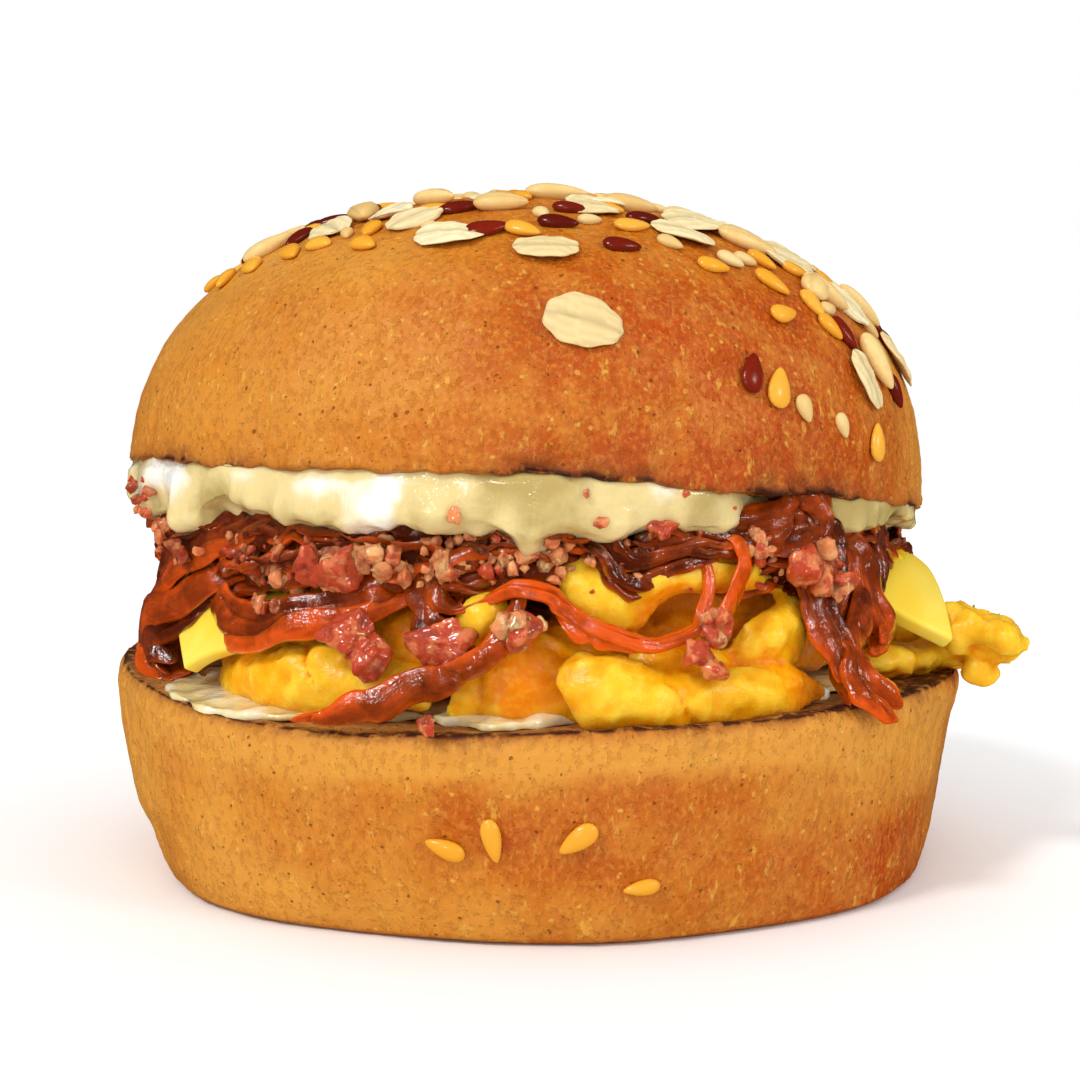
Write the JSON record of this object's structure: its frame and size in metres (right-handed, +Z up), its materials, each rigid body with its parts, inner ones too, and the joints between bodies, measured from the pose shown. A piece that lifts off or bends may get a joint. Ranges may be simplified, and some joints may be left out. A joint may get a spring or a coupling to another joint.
{
  "type": "breakfast sandwich",
  "caption": "Breakfast sandwich: a seeded bun filled with scrambled egg, a cheese slice, caramelised onion with bacon crumbs, and mayonnaise.",
  "frame": {"origin": "middle of the bun heel's flat base, on the table", "axes": "+Z up through the sandwich, -Y towards the side that the picture shows, +X to that side's right"},
  "size_m": [0.1227, 0.1168, 0.0904],
  "materials": {
    "crust": "satin",
    "mayonnaise": "gloss",
    "egg": "satin",
    "cheese": "satin",
    "onion": "gloss"
  },
  "bodies": {
    "root": {"bun_heel": "crust", "bun_crown": "crust", "lower_mayonnaise": "mayonnaise", "upper_mayonnaise": "mayonnaise", "scrambled_egg": "egg", "cheese_slice": "cheese", "caramelised_onion": "onion"}
  },
  "joints": []
}
